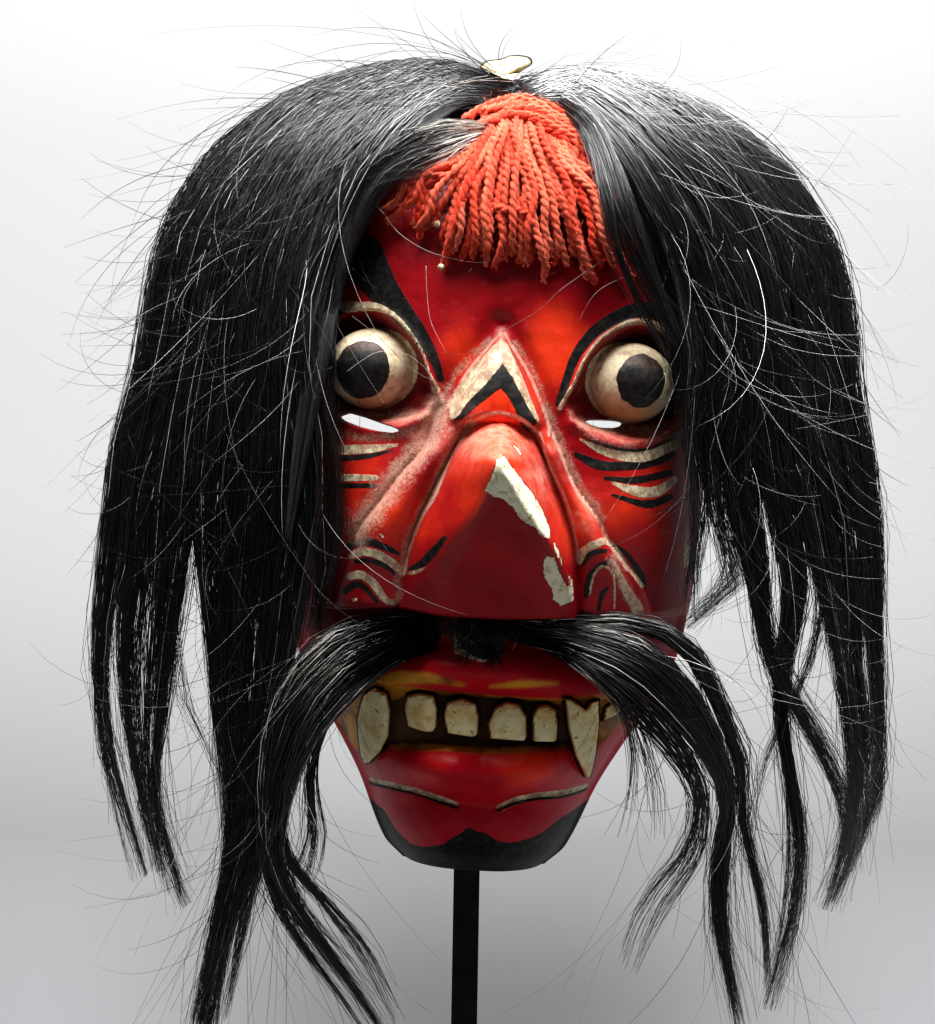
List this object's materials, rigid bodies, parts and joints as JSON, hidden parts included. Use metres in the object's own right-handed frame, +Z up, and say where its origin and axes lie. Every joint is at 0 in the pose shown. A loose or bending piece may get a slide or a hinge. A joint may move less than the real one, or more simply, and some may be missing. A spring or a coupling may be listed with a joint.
{
  "type": "mask",
  "caption": "Carved and painted wooden ogre dance mask with fangs, horsehair, moustache and a red wool tuft, hung on a square steel post with a square steel foot.",
  "frame": {"origin": "centre of the underside of the stand's foot", "axes": "+Z up along the post, the face looks along -Y, +X to the right of someone who looks at the face"},
  "size_m": [0.2372, 0.1442, 0.3653],
  "materials": {
    "painted_wood": "semi-gloss red paint over carved wood, worn and dusty",
    "horsehair": "glossy black horsehair with a few grey hairs",
    "wool": "two-ply orange-red wool yarn",
    "stand_steel": "satin black"
  },
  "bodies": {
    "root": {"mask": "painted_wood", "hair_left": "horsehair", "hair_right": "horsehair", "moustache_left": "horsehair", "moustache_right": "horsehair", "wool_tuft": "wool", "stand_post": "stand_steel", "stand_foot": "stand_steel"}
  },
  "joints": []
}
